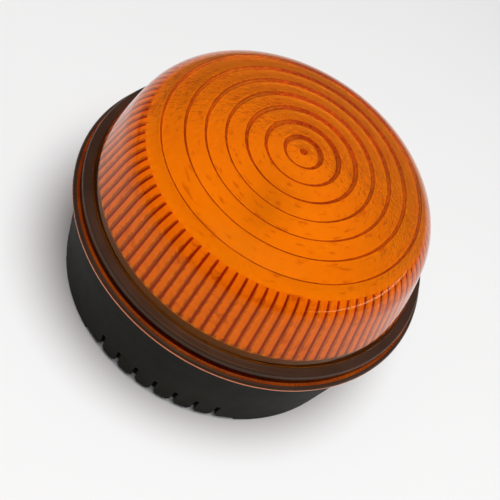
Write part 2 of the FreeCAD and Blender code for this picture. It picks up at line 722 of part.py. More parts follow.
def lamp_filament():
    """Fine wire strung as a zigzag between the two supports."""
    span = SUPPORT_X - SUPPORT_R - FILAMENT_R
    low = FILAMENT_Z + 0.6
    points = []
    for i in range(FILAMENT_RUNS + 1):
        height = low + FILAMENT_SWING * (i % 2)
        points.append(V(-span + 2 * span * i / FILAMENT_RUNS, 0, height))
    return round_wire(points, FILAMENT_R)


def holder_ring_nut():
    """Moulded nut that clamps the dish on the holder's shoulder, with grip notches."""
    low = DISH_FLAT_Z + SHEET_T + FIT
    nut = ring(HOLDER_NECK_R + FIT, NUT_R, low, low + NUT_H)
    notch = Part.makeCylinder(0.9, NUT_H + 3, V(NUT_R + 0.5, 0, low - 1))
    notches = [turned(notch, 360 * i / NUT_NOTCHES) for i in range(NUT_NOTCHES)]
    return nut.cut(Part.makeCompound(notches))


def holder_plate():
    """Steel strip that carries the lampholder, with countersinks below for its two screws."""
    low = PLATE_T + FIT
    sink_r = COUNTERSUNK_R + 0.2
    shank_hole_r = 1.2
    strip = block(STRIP_LENGTH, STRIP_WIDTH, low, HOLDER_Z - FIT)
    corners = [e for e in strip.Edges if abs(e.tangentAt(e.FirstParameter).z) > 0.9]
    strip = strip.makeFillet(STRIP_CORNER_R, corners)
    holes = [Part.makeCylinder(2 * CONTACT_PIN_R, 10)]
    for sign in (-1, 1):
        x = sign * HOLDER_SCREW_X
        holes.append(Part.makeCylinder(SMALL_SCREW_R + 0.35, 10, V(sign * STRIP_SCREW_X, 0, 0)))
        holes.append(Part.makeCylinder(shank_hole_r, 10, V(x, 0, 0)))
        holes.append(Part.makeCone(sink_r, shank_hole_r - 0.1, COUNTERSUNK_H + 0.1, V(x, 0, low)))
    return strip.cut(Part.makeCompound(holes))


def holder_plate_screws():
    length = 3.4
    screws = []
    for sign in (-1, 1):
        screws.append(pan_screw(sign * STRIP_SCREW_X, 0, HOLDER_Z, SMALL_SCREW_R, length, SMALL_SCREW_HEAD))
    return Part.makeCompound(screws)


def holder_screws():
    """Countersunk screws up through the strip into the lampholder."""
    low = PLATE_T + FIT
    slot_depth = 0.4
    shank_r = 1.0
    screws = []
    for sign in (-1, 1):
        x = sign * HOLDER_SCREW_X
        head = Part.makeCone(COUNTERSUNK_R, shank_r, COUNTERSUNK_H, V(x, 0, low))
        shank = Part.makeCylinder(shank_r, 6.6, V(x, 0, low + slot_depth))
        slot = block(0.5, 2 * COUNTERSUNK_R + 1, low - 1, low + slot_depth, x)
        screws.append(head.fuse(shank).cut(slot))
    return Part.makeCompound(screws)


def tab_face_x(sign):
    """Inner face of a connection tab."""
    return sign * (HOLDER_R - 1.9)


def holder_tabs():
    """Brass connection tabs in the holder's side pockets."""
    thickness, width, height = TAB_SIZE
    tabs = []
    for sign in (-1, 1):
        x = tab_face_x(sign)
        tab = block(thickness, width, TAB_Z - height / 2, TAB_Z + height / 2, x + sign * thickness / 2)
        hole = Part.makeCylinder(0.9, 6, V(x - sign * 2, 0, TAB_Z), V(sign, 0, 0))
        tabs.append(tab.cut(hole))
    return Part.makeCompound(tabs)


def holder_tab_screws():
    thickness = TAB_SIZE[0]
    head_r = 2.2
    head_h = 1.6
    slot_depth = 0.6
    gap = 0.05
    screws = []
    for sign in (-1, 1):
        x = tab_face_x(sign)
        top_x = x + sign * (thickness + gap + head_h)
        head = Part.makeCylinder(head_r, head_h, V(x + sign * (thickness + gap), 0, TAB_Z), V(sign, 0, 0))
        shank = Part.makeCylinder(0.8, thickness + 0.2, V(x + sign * gap, 0, TAB_Z), V(sign, 0, 0))
        slot = block(2 * slot_depth, 2 * head_r + 1, TAB_Z - 0.3, TAB_Z + 0.3, top_x)
        screws.append(head.fuse(shank).cut(slot))
    return Part.makeCompound(screws)


def clamp_points(x):
    return [(x, BLOCK_Y + side * CLAMP_Y) for side in (-1, 1)]


def terminal_block():
    length, depth, height = BLOCK_SIZE
    low = PLATE_T + FIT
    body = block(length, depth, low, low + height, 0, BLOCK_Y)
    cutters = [Part.makeCylinder(SMALL_SCREW_R + 0.15, 20, V(0, BLOCK_Y, 0)),
               Part.makeCylinder(SMALL_SCREW_HEAD[0] + 0.2, 20, V(0, BLOCK_Y, low + BLOCK_SCREW_FLOOR))]
    tube_r = TUNNEL_R + TUNNEL_T + FIT
    head_hole_r = CLAMP_HEAD_R + 0.2
    for x in (-POLE_X, POLE_X):
        tunnel_start = V(x, BLOCK_Y - depth / 2 - 1, POLE_Z)
        cutters.append(Part.makeCylinder(tube_r, depth + 2, tunnel_start, V(0, 1, 0)))
        cutters += [Part.makeCylinder(head_hole_r, 10, V(cx, cy, POLE_Z + 1)) for cx, cy in clamp_points(x)]
    return body.cut(Part.makeCompound(cutters))


def terminal_tubes():
    depth = BLOCK_SIZE[1] - 1.0
    tubes = []
    for x in (-POLE_X, POLE_X):
        start = V(x, BLOCK_Y - depth / 2, POLE_Z)
        tube = Part.makeCylinder(TUNNEL_R + TUNNEL_T, depth, start, V(0, 1, 0))
        cutters = [Part.makeCylinder(TUNNEL_R, depth, start, V(0, 1, 0))]
        cutters += [Part.makeCylinder(CLAMP_R + FIT, 6, V(cx, cy, POLE_Z)) for cx, cy in clamp_points(x)]
        tubes.append(tube.cut(Part.makeCompound(cutters)))
    return Part.makeCompound(tubes)


def terminal_screws():
    """Clamp screws that press on the leads, two in each tube."""
    low = POLE_Z + LEAD_R + 0.15
    length = 3.4
    head_low = POLE_Z + LEAD_R + length
    head_h = 1.4
    slot_depth = 0.6
    screws = []
    for x, y in clamp_points(-POLE_X) + clamp_points(POLE_X):
        screw = Part.makeCylinder(CLAMP_R, length, V(x, y, low))
        head = Part.makeCylinder(CLAMP_HEAD_R, head_h, V(x, y, head_low))
        slot = block(2 * CLAMP_HEAD_R + 1, 0.6, head_low + head_h - slot_depth, head_low + head_h + 1, x, y)
        screws.append(screw.fuse(head).cut(slot))
    return Part.makeCompound(screws)


def terminal_block_screw():
    length = 8.4
    seat_z = PLATE_T + FIT + BLOCK_SCREW_FLOOR + FIT
    return pan_screw(0, BLOCK_Y, seat_z, SMALL_SCREW_R, length, SMALL_SCREW_HEAD)


def bent_tube(points, radius, bend_r):
    """Tube along straight runs joined by tangent arcs of one radius."""
    edges = []
    here = points[0]
    for before, corner, after in zip(points, points[1:], points[2:]):
        into = (corner - before).normalize()
        away = (after - corner).normalize()
        half_turn = into.getAngle(away) / 2
        setback = bend_r * math.tan(half_turn)
        start = corner - into * setback
        end = corner + away * setback
        bisector = (away - into).normalize()
        apex = corner + bisector * (bend_r / math.cos(half_turn) - bend_r)
        edges.append(Part.LineSegment(here, start).toShape())
        edges.append(Part.Arc(start, apex, end).toShape())
        here = end
    edges.append(Part.LineSegment(here, points[-1]).toShape())
    spine = Part.Wire(edges)
    first = (points[1] - points[0]).normalize()
    section = Part.Wire(Part.makeCircle(radius, points[0], first))
    return spine.makePipeShell([section], True, True)


def internal_lead(sign):
    """Insulated wire from the terminal block to the tab on the holder's side."""
    x = sign * POLE_X
    block_face_y = BLOCK_Y - BLOCK_SIZE[1] / 2
    points = [V(x, block_face_y + 3.0, POLE_Z),
              V(x, block_face_y - 5.0, POLE_Z),
              V(sign * 19.5, 12.0, POLE_Z + 3.0),
              V(sign * (HOLDER_R + 2.6), 2.2, TAB_Z)]
    return bent_tube(points, LEAD_R, LEAD_BEND_R)


nodes = {
    "lens_dome": lens_dome(),
    "lens_gasket": lens_gasket(),
    "base_housing": base_housing(),
    "housing_screws": housing_screws(),
    "back_plate": back_plate(),
    "vent_baffle": vent_baffle(),
    "inlet_grommet": inlet_grommet(),
    "reflector_dish": reflector_dish(),
    "holder_body": holder_body(),
    "holder_shell": holder_shell(),
    "holder_ring_nut": holder_ring_nut(),
    "holder_plate": holder_plate(),
    "holder_plate_screws": holder_plate_screws(),
    "holder_screws": holder_screws(),
    "holder_tabs": holder_tabs(),
    "holder_tab_screws": holder_tab_screws(),
    "center_contact": center_contact(),
    "contact_spring": contact_spring(),
    "terminal_block": terminal_block(),
    "terminal_tubes": terminal_tubes(),
    "terminal_screws": terminal_screws(),
    "terminal_block_screw": terminal_block_screw(),
    "lead_live": internal_lead(1),
    "lead_neutral": internal_lead(-1),
    "lamp_envelope": lamp_envelope(),
    "lamp_cap": lamp_cap(),
    "lamp_insulator": lamp_insulator(),
    "lamp_contact": lamp_contact(),
    "lamp_stem": lamp_stem(),
    "lamp_supports": lamp_supports(),
    "lamp_filament": lamp_filament(),
}

os.makedirs("parts", exist_ok=True)
for name, shape in nodes.items():
    shape.exportStep("parts/" + name + ".step")
    box = shape.BoundBox
    print(name, "solids", len(shape.Solids), "valid", shape.isValid(), "volume", round(shape.Volume, 1),
          "z", round(box.ZMin, 2), round(box.ZMax, 2))
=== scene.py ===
"""Looks of the round darkroom safelight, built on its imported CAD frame. Metres, +Z out through the lens."""

import json
import math

import bpy
from mathutils import Matrix, Vector

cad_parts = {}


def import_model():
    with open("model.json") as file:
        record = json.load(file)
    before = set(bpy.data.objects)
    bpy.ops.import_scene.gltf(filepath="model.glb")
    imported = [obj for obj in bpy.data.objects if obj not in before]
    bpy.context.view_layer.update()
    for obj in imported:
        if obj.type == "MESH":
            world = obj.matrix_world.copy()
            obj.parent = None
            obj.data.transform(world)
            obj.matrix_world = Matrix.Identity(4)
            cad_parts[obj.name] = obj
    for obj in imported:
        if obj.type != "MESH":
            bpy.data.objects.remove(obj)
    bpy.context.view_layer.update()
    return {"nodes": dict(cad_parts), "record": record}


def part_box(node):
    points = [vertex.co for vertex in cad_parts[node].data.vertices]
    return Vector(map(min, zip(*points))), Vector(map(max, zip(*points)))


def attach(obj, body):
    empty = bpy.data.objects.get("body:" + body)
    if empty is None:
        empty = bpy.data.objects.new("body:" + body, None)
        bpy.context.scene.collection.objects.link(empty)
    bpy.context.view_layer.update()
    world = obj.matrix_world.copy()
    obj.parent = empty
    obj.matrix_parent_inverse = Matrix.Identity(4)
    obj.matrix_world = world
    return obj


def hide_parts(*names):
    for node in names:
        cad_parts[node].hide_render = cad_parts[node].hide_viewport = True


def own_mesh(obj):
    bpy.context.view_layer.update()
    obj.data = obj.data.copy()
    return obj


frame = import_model()

MM = 0.001

# Lens, the same sizes as in the CAD frame, in millimetres. The side wall's ends are (radius, height over
# the seat).
LENS_R = 70.0
SEAT_Z = 42.0
DOME_RISE = 42.9
DOME_R = 261.0
WALL_TOP = (59.3, 24.0)
WALL_FOOT = (64.1, 7.0)
SHOULDER_R = 20.0
LENS_T = 3.5
RING_PITCH = 6.83
RING_COUNT = 7
RING_DEPTH = 1.8
RING_LEAN = 0.25
PIP_R = 1.2
PIP_DEPTH = 0.7
FLUTE_COUNT = 94
FLUTE_DEPTH = 1.2
FLUTE_FOOT_Z = 50.0
FLUTE_TOP_Z = 73.0
SKIRT_R = 67.6
SKIRT_BORE_R = 65.2
LEDGE_Z = 48.0
CEILING_Z = 46.0
RIM_Z = 41.0
BEAD_R = 1.2
CORNER_R = 1.0
LUG_MIDDLE = -87.0
LUG_SPAN = 40.0
LUG_COUNT = 4
LUG_BORE_R = 63.2
LUG_Z = 42.55
LUG_T = 1.5
LEAD = 8.0

# Details of the skin in millimetres: the nib's hollow, the lugs' softened edges, and how far the lugs sink
# into the skirt. The sweeps of the ledge's fillet and of the flutes' rounded ends are in degrees.
PIP_HOLLOW = 0.15
LUG_SOFT = 0.25
LUG_SINK = 0.4
LEDGE_SWEEP = 74.0
FLUTE_END_SWEEP = 3.0

# Where the lens's painted shade begins, in millimetres: the painted shade at the root inside each ring, wider
# on the inner rings and lifted a little where it starts, and the top of the foot's painted dark shade inside
WIDE_ROOT_SHADE = 0.55
WIDE_SHADE_RINGS = 3
NARROW_ROOT_SHADE = 0.2
ROOT_SHADE_LIFT = 0.06
FOOT_SHADE_TOP = 49.0

# How finely the lens's skin is divided, the steps of the bead that carry its painted highlight line, and how
# far along a ring's slope and a flute's end the skin has points
COLUMNS_PER_FLUTE = 8
BEAD_STEPS = 14
BEAD_HIGHLIGHT_STEPS = range(5, 8)
CORNER_STEPS = 8
WALL_STEPS = 8
SHOULDER_STEPS = 26
CROWN_STEPS = 22
SLOPE_SHARES = (0.3, 0.6, 0.85)
FLUTE_END_SHARES = (0.1, 0.45, 0.8, 1.0)
FLUTED_SHOULDER_STEPS = 12
FLUTED_WALL_STEPS = 10
LUG_STEPS = 24

# Finishes of the lens's skin, in the order of its materials. All but the clear outer and frosted inner paint
# light
# or shade: the ring edges, the valleys, the foot and the ribs are amber darkened as painted shade, and the
# bead's line is a painted highlight. FLUTED is the rib finish with the valleys' painted shade in its valleys,
# and LUGGED is the foot finish with that painted shade where a lug joins it.
OUTER, INNER, EDGE_SHADE, DEEP_SHADE, FOOT_SHADE, BEAD_HIGHLIGHT, RIB_SHADE, FLUTED, LUGGED = range(9)

# Softened corners of the lens, as (outward, upward, finish) from the sharp corner, in millimetres, and the
# height over the ceiling where the wall begins to turn into it. Their edge and foot finishes are painted
# shade in the groove over the bead, at the nib and the ring steps, and in the skirt.
GROOVE = ((1.1, 0.0, EDGE_SHADE), (0.25, 0.02, EDGE_SHADE), (0.06, 0.1, OUTER), (0.0, 0.3, OUTER))
NIB_TIP = ((-0.6, 0.0, EDGE_SHADE), (-0.12, 0.1, EDGE_SHADE))
NIB_FOOT = ((0.36, 0.0, INNER),)
RISER_FOOT = ((-0.15, 0.0, EDGE_SHADE), (-0.045, 0.08, EDGE_SHADE))
RISER_HEAD = ((-0.03, -0.12, EDGE_SHADE), (0.12, 0.0, EDGE_SHADE), (0.45, -0.04, INNER))
CEILING_AT_WALL = ((0.1, 0.1, FOOT_SHADE), (0.5, 0.0, FOOT_SHADE))
CEILING_AT_BORE = ((-0.6, 0.0, FOOT_SHADE), (-0.15, -0.1, FOOT_SHADE), (0.0, -0.5, FOOT_SHADE))
RIM_AT_BORE = ((0.0, 0.3, FOOT_SHADE), (0.3, 0.0, FOOT_SHADE))
CEILING_BLEND = 0.5

# The flutes' feet, as (drop in millimetres, share of the grooves' depth)
FLUTE_FEET = ((0.0, 1.0), (0.35, 0.85), (0.65, 0.5), (0.8, 0.0))

# Spring under the lamp's contact
SPRING_TURNS = 2.5
SPRING_WIRE_R = 0.3
SPRING_STEPS = 90
SPRING_SIDES = 10

# Noise of the finishes, in cycles a metre: how much finer the roughness is than the tone, and the amber
# plastic's tone and roughness
FINER = 3.1
AMBER_TONE = 60.0
AMBER_ROUGHNESS = 400.0

# Flow marks in the amber plastic: cells a radian and cells a metre outward, and the part of the noise's
# range that they span
FLOW_CELLS = (6.0, 650.0)
FLOW_BAND = (0.3, 0.4)

# Opaque finishes by slot: low and high tone, roughness, the tone's noise in cycles a metre, and, where they
# aren't the usual, metallic, the grain's (scale, strength, distance) and the specular level
SOLID_FINISHES = {
    "housing_black": ((0.006, 0.0058, 0.0036), (0.011, 0.0105, 0.0065), (0.5, 0.65), 45.0, 0.0,
                      (2600.0, 0.12, 0.0002), 0.06),
    "seal_rubber": ((0.008, 0.008, 0.008), (0.014, 0.014, 0.014), (0.6, 0.8), 80.0, 0.0,
                    (3000.0, 0.2, 0.0002)),
    "grommet_rubber": ((0.012, 0.012, 0.012), (0.02, 0.02, 0.02), (0.55, 0.75), 120.0, 0.0,
                       (3500.0, 0.2, 0.0002)),
    "zinc_steel": ((0.42, 0.42, 0.40), (0.62, 0.61, 0.57), (0.25, 0.45), 160.0, 1.0,
                   (1800.0, 0.1, 0.0001)),
    "spring_steel": ((0.4, 0.4, 0.4), (0.55, 0.55, 0.54), (0.2, 0.35), 300.0, 1.0),
    "white_enamel": ((0.80, 0.79, 0.75), (0.86, 0.85, 0.81), (0.25, 0.4), 30.0, 0.0,
                     (700.0, 0.06, 0.0003)),
    "white_ceramic": ((0.78, 0.77, 0.72), (0.85, 0.84, 0.80), (0.12, 0.25), 90.0, 0.0,
                      (500.0, 0.05, 0.0002)),
    "brass": ((0.55, 0.36, 0.12), (0.72, 0.5, 0.2), (0.22, 0.42), 220.0, 1.0),
    "white_nylon": ((0.72, 0.70, 0.64), (0.82, 0.81, 0.76), (0.35, 0.5), 90.0, 0.0,
                    (1200.0, 0.08, 0.0002)),
    "lead_brown": ((0.09, 0.035, 0.015), (0.13, 0.05, 0.02), (0.35, 0.5), 200.0),
    "lead_blue": ((0.012, 0.06, 0.25), (0.02, 0.09, 0.34), (0.35, 0.5), 200.0),
    "cap_metal": ((0.55, 0.54, 0.5), (0.7, 0.69, 0.66), (0.25, 0.4), 260.0, 1.0),
    "cap_insulator": ((0.01, 0.01, 0.014), (0.02, 0.02, 0.03), (0.08, 0.2), 200.0),
    "solder": ((0.45, 0.45, 0.44), (0.6, 0.6, 0.58), (0.3, 0.5), 600.0, 1.0),
    "filament_wire": ((0.25, 0.25, 0.26), (0.38, 0.38, 0.4), (0.3, 0.45), 800.0, 1.0),
}

# Amber plastic and lamp glass
AMBER_IOR = 1.49
AMBER_SPECULAR = 0.3
AMBER_SPECULAR_TINT = (1.0, 0.5, 0.15, 1)
GLASS_IOR = 1.5

# Stage: the floor and the point that the lamps face, in metres, and the world's strength
FLOOR_HALF = 6.0
FLOOR_DROP = 0.0002
LIT_POINT = Vector((0, 0, 0.05))
WORLD_STRENGTH = 0.15

# Camera: where it looks, how it is turned in degrees, from how far, and its lens and sensor in millimetres
CAMERA_TARGET = Vector((2.37, -30.49, 60.0)) * MM
CAMERA_AZIMUTH = -94.0
CAMERA_ELEVATION = 48.87
CAMERA_ROLL = -35.46
CAMERA_DISTANCE = 287.06 * MM
CAMERA_LENS = 61.2
CAMERA_SENSOR = 36.0
CAMERA_NEAR = 0.01


# ---------------------------------------------------------------- geometry helpers

def arc(centre, radius, start, end, steps):
    """Points on an arc from start to end degrees, ends included."""
    points = []
    for i in range(steps + 1):
        angle = math.radians(start + (end - start) * i / steps)
        points.append((centre[0] + radius * math.cos(angle), centre[1] + radius * math.sin(angle)))
    return points


def line(start, end, steps):
    """Points from start to end, without the end."""
    run = end[0] - start[0]
    rise = end[1] - start[1]
    return [(start[0] + run * i / steps, start[1] + rise * i / steps) for i in range(steps)]


def toward(azimuth, elevation):
    """Unit vector at an azimuth and elevation in degrees."""
    a = math.radians(azimuth)
    e = math.radians(elevation)
    return Vector((math.cos(e) * math.cos(a), math.cos(e) * math.sin(a), math.sin(e)))


def new_object(name, vertices, faces, smooth=True):
    mesh = bpy.data.meshes.new(name)
    mesh.from_pydata(vertices, [], faces)
    mesh.validate()
    if smooth:
        mesh.shade_smooth()
    obj = bpy.data.objects.new(name, mesh)
    bpy.context.scene.collection.objects.link(obj)
    return obj


def bar_faces(first, steps, count):
    """Faces of a closed bar whose section of count points repeats steps + 1 times from vertex first."""
    faces = []
    for k in range(steps):
        here = first + k * count
        for m in range(count):
            n = (m + 1) % count
            faces.append((here + m, here + n, here + count + n, here + count + m))
    faces.append(tuple(first + m for m in reversed(range(count))))
    faces.append(tuple(first + steps * count + m for m in range(count)))
    return faces


def soft_corner(r, z, corner):
    """Points of a softened corner at (r, z), as (r, z, finish)."""
    return [(r + outward, z + upward, finish) for outward, upward, finish in corner]


# ---------------------------------------------------------------- lens

class LensSection:
    """Side line, rounded shoulder and spherical face of the lens, set inward by inset."""

    def __init__(self, inset):
        foot_r, foot_z = WALL_FOOT[0], SEAT_Z + WALL_FOOT[1]
        run = WALL_TOP[0] - WALL_FOOT[0]
        rise = WALL_TOP[1] - WALL_FOOT[1]
        length = math.hypot(run, rise)
        self.along = (run / length, rise / length)
        self.inward = (-rise / length, run / length)
        self.foot = (foot_r + inset * self.inward[0], foot_z + inset * self.inward[1])
        self.sphere_r = DOME_R - inset
        self.sphere_z = SEAT_Z + DOME_RISE - DOME_R
        start_r = foot_r + SHOULDER_R * self.inward[0]
        start_z = foot_z + SHOULDER_R * self.inward[1] - self.sphere_z
        b = start_r * self.along[0] + start_z * self.along[1]
        c = start_r ** 2 + start_z ** 2 - (DOME_R - SHOULDER_R) ** 2
        travel = -b + math.sqrt(b * b - c)
        self.centre = (start_r + travel * self.along[0], start_z + travel * self.along[1] + self.sphere_z)
        self.shoulder_r = SHOULDER_R - inset
        self.line_angle = math.degrees(math.atan2(-self.inward[1], -self.inward[0]))
        self.face_angle = math.degrees(math.atan2(self.centre[1] - self.sphere_z, self.centre[0]))

    def line_r(self, z):
        """Radius of the side line at height z."""
        return self.foot[0] + (z - self.foot[1]) * self.along[0] / self.along[1]

    def on_shoulder(self, degrees):
        """Point of the shoulder's arc at an angle."""
        angle = math.radians(degrees)
        return (self.centre[0] + self.shoulder_r * math.cos(angle),
                self.centre[1] + self.shoulder_r * math.sin(angle))

    def face_z(self, r):
        """Height of the face at radius r."""
        return self.sphere_z + math.sqrt(self.sphere_r ** 2 - r ** 2)

    def surface_z(self, r):
        """Height of the face, or of the shoulder beyond it, at radius r."""
        if r < self.on_shoulder(self.face_angle)[0]:
            return self.face_z(r)
        return self.centre[1] + math.sqrt(self.shoulder_r ** 2 - (r - self.centre[0]) ** 2)


def lens_outer():
    """Outside of the lens from its rim up to near the crown, as (r, z, finish)."""
    section = LensSection(0.0)
    bead_r = LENS_R - BEAD_R
    bead_top = RIM_Z + 2 * BEAD_R
    points = []
    # The bead: a painted highlight line on a few steps, painted dark shade on the rest
    for i, (r, z) in enumerate(arc((bead_r, RIM_Z + BEAD_R), BEAD_R, -90, 90, BEAD_STEPS)):
        points.append((r, z, BEAD_HIGHLIGHT if i in BEAD_HIGHLIGHT_STEPS else FOOT_SHADE))
    points += soft_corner(SKIRT_R, bead_top, GROOVE)
    points.append((SKIRT_R, (bead_top + LEDGE_Z) / 2, FOOT_SHADE))
    corner = arc((SKIRT_R - CORNER_R, LEDGE_Z - CORNER_R), CORNER_R, 0, 90, CORNER_STEPS)
    blend_z = LEDGE_Z + CORNER_R
    blend_r = section.line_r(blend_z) + CORNER_R
    ledge = arc((blend_r, blend_z), CORNER_R, -90, -90 - LEDGE_SWEEP, CORNER_STEPS)
    half = CORNER_STEPS // 2
    # The skirt's corner and the outer half of the ledge are painted dark as shade
    points += [(r, z, FOOT_SHADE) for r, z in corner + ledge[:half]]
    points += [(r, z, OUTER) for r, z in ledge[half:]]
    upper = line(ledge[-1], section.on_shoulder(section.line_angle), WALL_STEPS)[1:]
    upper += arc(section.centre, section.shoulder_r, section.line_angle, section.face_angle, SHOULDER_STEPS)
    face_edge = upper[-1][0]
    for i in range(1, CROWN_STEPS):
        r = face_edge * (1 - i / CROWN_STEPS)
        upper.append((r, section.face_z(r)))
    return points + [(r, z, OUTER) for r, z in upper]


def ring_riser(r, low, high, shade_width):
    """Softened step at one ring, with a band of painted shade at its root before it, as (r, z, finish)."""
    foot = r - RING_LEAN
    points = [(foot + RISER_FOOT[0][0] - shade_width, low + ROOT_SHADE_LIFT, EDGE_SHADE)]
    points += soft_corner(foot, low, RISER_FOOT)
    points += soft_corner(r + RING_LEAN, high, RISER_HEAD)
    return points


def ringed_face(section, edge_r):
    """Inside of the face, as (r, z, finish): the nib, a slope out to each ring, and one to edge_r."""
    centre_z = section.face_z(0)
    points = soft_corner(PIP_R, centre_z - PIP_DEPTH, NIB_TIP)
    points += soft_corner(PIP_R, centre_z, NIB_FOOT)
    for k in range(RING_COUNT + 1):
        last = k == RING_COUNT
        start = k * RING_PITCH
        end = edge_r if last else (k + 1) * RING_PITCH
        high = section.surface_z(start)
        next_high = section.surface_z(end)
        low = next_high if last else next_high - RING_DEPTH
        for share in SLOPE_SHARES:
            here = start + RING_LEAN + (end - start - 2 * RING_LEAN) * share
            points.append((here, high + (low - high) * share, INNER))
        if not last:
            # Painted shade at the ring's root, wider on the inner rings
            shade_width = WIDE_ROOT_SHADE if k < WIDE_SHADE_RINGS else NARROW_ROOT_SHADE
            points += ring_riser(end, low, next_high, shade_width)
    return points


def fluted_wall(section, top_angle):
    """The fluted band, from the flutes' rounded ends to their feet, as (r, z, flute, finish)."""
    points = []
    for share in FLUTE_END_SHARES:
        r, z = section.on_shoulder(top_angle - FLUTE_END_SWEEP * share)
        points.append((r, z, math.sqrt(1 - (1 - share) ** 2), FLUTED))
    full = arc(section.centre, section.shoulder_r, top_angle - FLUTE_END_SWEEP, section.line_angle,
               FLUTED_SHOULDER_STEPS)[1:]
    foot = (section.line_r(FLUTE_FOOT_Z), FLUTE_FOOT_Z)
    full += line(full[-1], foot, FLUTED_WALL_STEPS)[1:]
    points += [(r, z, 1.0, FLUTED) for r, z in full]
    for drop, share in FLUTE_FEET:
        z = FLUTE_FOOT_Z - drop
        points.append((section.line_r(z), z, share, INNER))
    return points


def skirt_inside(section):
    """Inside of the foot, as (r, z, finish): out along the ceiling, and down the bore to the rim."""
    # The foot's inside is painted dark as shade, darker still where the lugs join the bore
    points = [(section.line_r(z), z, FOOT_SHADE) for z in (FOOT_SHADE_TOP, CEILING_Z + CEILING_BLEND)]
    points += soft_corner(section.line_r(CEILING_Z), CEILING_Z, CEILING_AT_WALL)
    points += soft_corner(SKIRT_BORE_R, CEILING_Z, CEILING_AT_BORE)
    points.append((SKIRT_BORE_R, LUG_Z + LUG_T / 2, LUGGED))
    points.append((SKIRT_BORE_R, LUG_Z - LUG_T / 2, FOOT_SHADE))
    points += soft_corner(SKIRT_BORE_R, RIM_Z, RIM_AT_BORE)
    return points


def lens_inner():
    """Inside of the lens from near the crown down to the rim, as (r, z, flute, finish).

    flute is the share of the grooves' depth there, and finish that of the band from this point to the next.
    """
    section = LensSection(LENS_T)
    top_angle = math.degrees(math.asin((FLUTE_TOP_Z - section.centre[1]) / section.shoulder_r))
    face = ringed_face(section, section.on_shoulder(top_angle)[0])
    points = [(r, z, 0.0, finish) for r, z, finish in face]
    points += fluted_wall(section, top_angle)
    points += [(r, z, 0.0, finish) for r, z, finish in skirt_inside(section)]
    return points


def flute_groove(column):
    """Depth of the groove at a column: deepest in the valley between two rounded flutes."""
    phase = (column % COLUMNS_PER_FLUTE) / COLUMNS_PER_FLUTE
    across = 2 * phase - 1
    return FLUTE_DEPTH * across * across


def at_lug(column):
    """True if a lug joins the skirt at this column."""
    step = 360 / LUG_COUNT
    azimuth = 360 * column / (FLUTE_COUNT * COLUMNS_PER_FLUTE)
    from_middle = (azimuth - LUG_MIDDLE + step / 2) % step - step / 2
    return abs(from_middle) < LUG_SPAN / 2


def finish_at(band, column):
    """Finish of a band's face at a column."""
    # Painted shade: the darkest amber goes in the flutes' valleys and where the lugs join the bore
    if band == FLUTED:
        in_valley = column % COLUMNS_PER_FLUTE in (0, COLUMNS_PER_FLUTE - 1)
        return DEEP_SHADE if in_valley else RIB_SHADE
    if band == LUGGED:
        return DEEP_SHADE if at_lug(column) else FOOT_SHADE
    return band


def lens_dome(materials):
    """One closed skin: up the outside, over the crown, down the inside, and back round the rim."""
    outer = lens_outer()
    inner = lens_inner()
    columns = FLUTE_COUNT * COLUMNS_PER_FLUTE
    turns = [2 * math.pi * i / columns for i in range(columns)]
    directions = [(math.cos(turn), math.sin(turn)) for turn in turns]
    vertices = []
    for r, z, _ in outer:
        vertices += [(r * c * MM, r * s * MM, z * MM) for c, s in directions]
    outward = -LensSection(0.0).inward[0]
    for r, z, flute, _ in inner:
        for i, (c, s) in enumerate(directions):
            here = r + flute * flute_groove(i) * outward
            vertices.append((here * c * MM, here * s * MM, z * MM))
    crown = len(vertices)
    nib = crown + 1
    vertices.append((0, 0, (SEAT_Z + DOME_RISE) * MM))
    vertices.append((0, 0, (inner[0][1] + PIP_HOLLOW) * MM))

    bands = [finish for _, _, finish in outer] + [finish for _, _, _, finish in inner]
    crown_row = len(outer) - 1
    nib_row = len(outer)
    faces = []
    finishes = []
    for row, band in enumerate(bands):
        if row == crown_row:
            continue
        here = row * columns
        below = (row + 1) % len(bands) * columns
        for i in range(columns):
            j = (i + 1) % columns
            faces.append((here + i, here + j, below + j, below + i))
            finishes.append(finish_at(band, i))
    # The crown's fan outside is clear; the nib's fan inside takes the edge finish, which is painted shade
    for i in range(columns):
        j = (i + 1) % columns
        faces.append((crown_row * columns + i, crown_row * columns + j, crown))
        faces.append((nib_row * columns + j, nib_row * columns + i, nib))
        finishes += [OUTER, EDGE_SHADE]
    dome = new_object("lens_dome_skin", vertices, faces)
    for material in materials:
        dome.data.materials.append(material)
    dome.data.polygons.foreach_set("material_index", finishes)
    return dome


def lens_lugs():
    """The locking lugs inside the skirt: short bars that climb with the ramps' lead."""
    r_in = LUG_BORE_R
    r_out = SKIRT_BORE_R + LUG_SINK
    half = LUG_T / 2
    section = [(r_out, -half), (r_in + LUG_SOFT, -half), (r_in, -half + LUG_SOFT),
               (r_in, half - LUG_SOFT), (r_in + LUG_SOFT, half), (r_out, half)]
    vertices = []
    faces = []
    for lug in range(LUG_COUNT):
        faces += bar_faces(len(vertices), LUG_STEPS, len(section))
        for k in range(LUG_STEPS + 1):
            share = k / LUG_STEPS - 0.5
            angle = math.radians(LUG_MIDDLE + 360 / LUG_COUNT * lug + LUG_SPAN * share)
            middle_z = LUG_Z + LEAD * LUG_SPAN / 360 * share
            for r, z in section:
                vertices.append((r * math.cos(angle) * MM, r * math.sin(angle) * MM, (middle_z + z) * MM))
    return new_object("lens_lugs", vertices, faces, smooth=False)


# ---------------------------------------------------------------- contact spring

